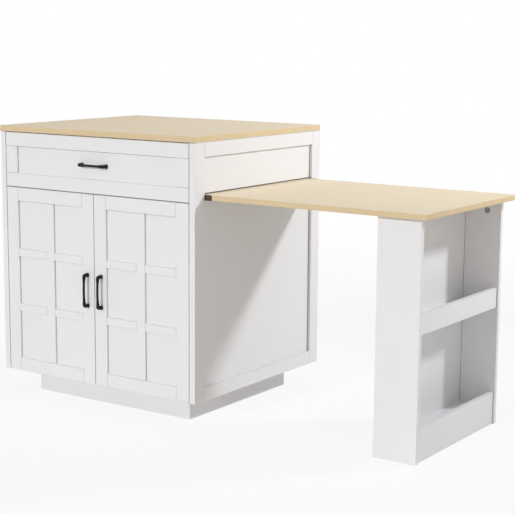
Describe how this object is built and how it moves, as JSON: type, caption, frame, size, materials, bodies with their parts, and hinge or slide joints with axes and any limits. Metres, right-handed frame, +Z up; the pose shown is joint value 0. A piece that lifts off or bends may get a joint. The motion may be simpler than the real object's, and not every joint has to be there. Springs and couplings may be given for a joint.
{
  "type": "kitchen island",
  "caption": "Kitchen island cabinet with paned doors and a drawer, and a table that pulls out of its side on a narrow shelf rack",
  "frame": {"origin": "on the floor, in the middle of the cabinet's plinth", "axes": "+X to the side the table pulls out of, +Y to the rear (doors and drawer face -Y), +Z up"},
  "size_m": [1.582, 0.74, 0.92],
  "materials": {
    "white_lacquer": "white satin lacquer on board",
    "oak_top": "pale wood, clear satin finish",
    "inner_board": "off-white faced board",
    "raw_board": "bare softwood",
    "black_handle": "black satin",
    "dark_steel": "dark brown coated steel",
    "zinc_steel": "zinc plated",
    "nickel_steel": "nickel plated",
    "glide_plastic": "pale plastic"
  },
  "bodies": {
    "cabinet": {"worktop": "oak_top", "left_side_panel": "white_lacquer", "right_side_panel": "white_lacquer", "left_side_stiles": "white_lacquer", "left_side_rails": "white_lacquer", "right_side_stiles": "white_lacquer", "right_side_rails": "white_lacquer", "bottom_board": "inner_board", "back_panel": "white_lacquer", "divider_board": "inner_board", "front_cross_rail": "raw_board", "rear_cross_rail": "raw_board", "top_stretchers": "raw_board", "adjustable_shelf": "inner_board", "shelf_pins": "zinc_steel", "plinth_front": "white_lacquer", "plinth_rear": "white_lacquer", "plinth_sides": "white_lacquer", "plinth_brace": "raw_board", "plinth_blocks": "raw_board", "table_guides": "dark_steel", "drawer_guides": "zinc_steel", "hinge_arms": "nickel_steel"},
    "left_door": {"left_door_panel": "white_lacquer", "left_door_stiles": "white_lacquer", "left_door_rails": "white_lacquer", "left_door_muntins": "white_lacquer", "left_door_handle": "black_handle", "left_door_screws": "zinc_steel", "left_door_hinge_cups": "nickel_steel"},
    "right_door": {"right_door_panel": "white_lacquer", "right_door_stiles": "white_lacquer", "right_door_rails": "white_lacquer", "right_door_muntins": "white_lacquer", "right_door_handle": "black_handle", "right_door_screws": "zinc_steel", "right_door_hinge_cups": "nickel_steel"},
    "drawer": {"drawer_front_panel": "white_lacquer", "drawer_front_stiles": "white_lacquer", "drawer_front_rails": "white_lacquer", "drawer_box_left": "inner_board", "drawer_box_right": "inner_board", "drawer_box_front": "inner_board", "drawer_box_back": "inner_board", "drawer_bottom": "inner_board", "drawer_handle": "black_handle", "drawer_screws": "zinc_steel", "drawer_slides": "zinc_steel"},
    "drawer_middle": {"drawer_middle_slides": "zinc_steel"},
    "table": {"table_leaf": "oak_top", "table_runners": "dark_steel", "rack_side_front": "white_lacquer", "rack_side_rear": "white_lacquer", "rack_back_panel": "white_lacquer", "rack_middle_shelf": "white_lacquer", "rack_bottom_shelf": "white_lacquer", "rack_guard_rail": "white_lacquer", "rack_kick_rail": "white_lacquer", "cam_fittings": "zinc_steel", "rack_glides": "glide_plastic"}
  },
  "joints": [
    {"name": "left_door_hinge", "type": "hinge", "parent": "cabinet", "child": "left_door", "pos_m": [-0.38775, -0.358, 0.398], "axis": [0, 0, -1], "range_deg": [0, 105]},
    {"name": "right_door_hinge", "type": "hinge", "parent": "cabinet", "child": "right_door", "pos_m": [0.38775, -0.358, 0.398], "axis": [0, 0, 1], "range_deg": [0, 105]},
    {"name": "drawer_slide", "type": "slide", "parent": "cabinet", "child": "drawer", "axis": [0, -1, 0], "range_m": [0, 0.42]},
    {"name": "drawer_middle_slide", "type": "slide", "parent": "cabinet", "child": "drawer_middle", "axis": [0, -1, 0], "range_m": [0, 0.21]},
    {"name": "table_slide", "type": "slide", "parent": "cabinet", "child": "table", "axis": [1, 0, 0], "range_m": [-0.582, 0]}
  ],
  "couplings": [
    {"joint": "drawer_middle_slide", "follows": "drawer_slide", "ratio": 0.5}
  ]
}
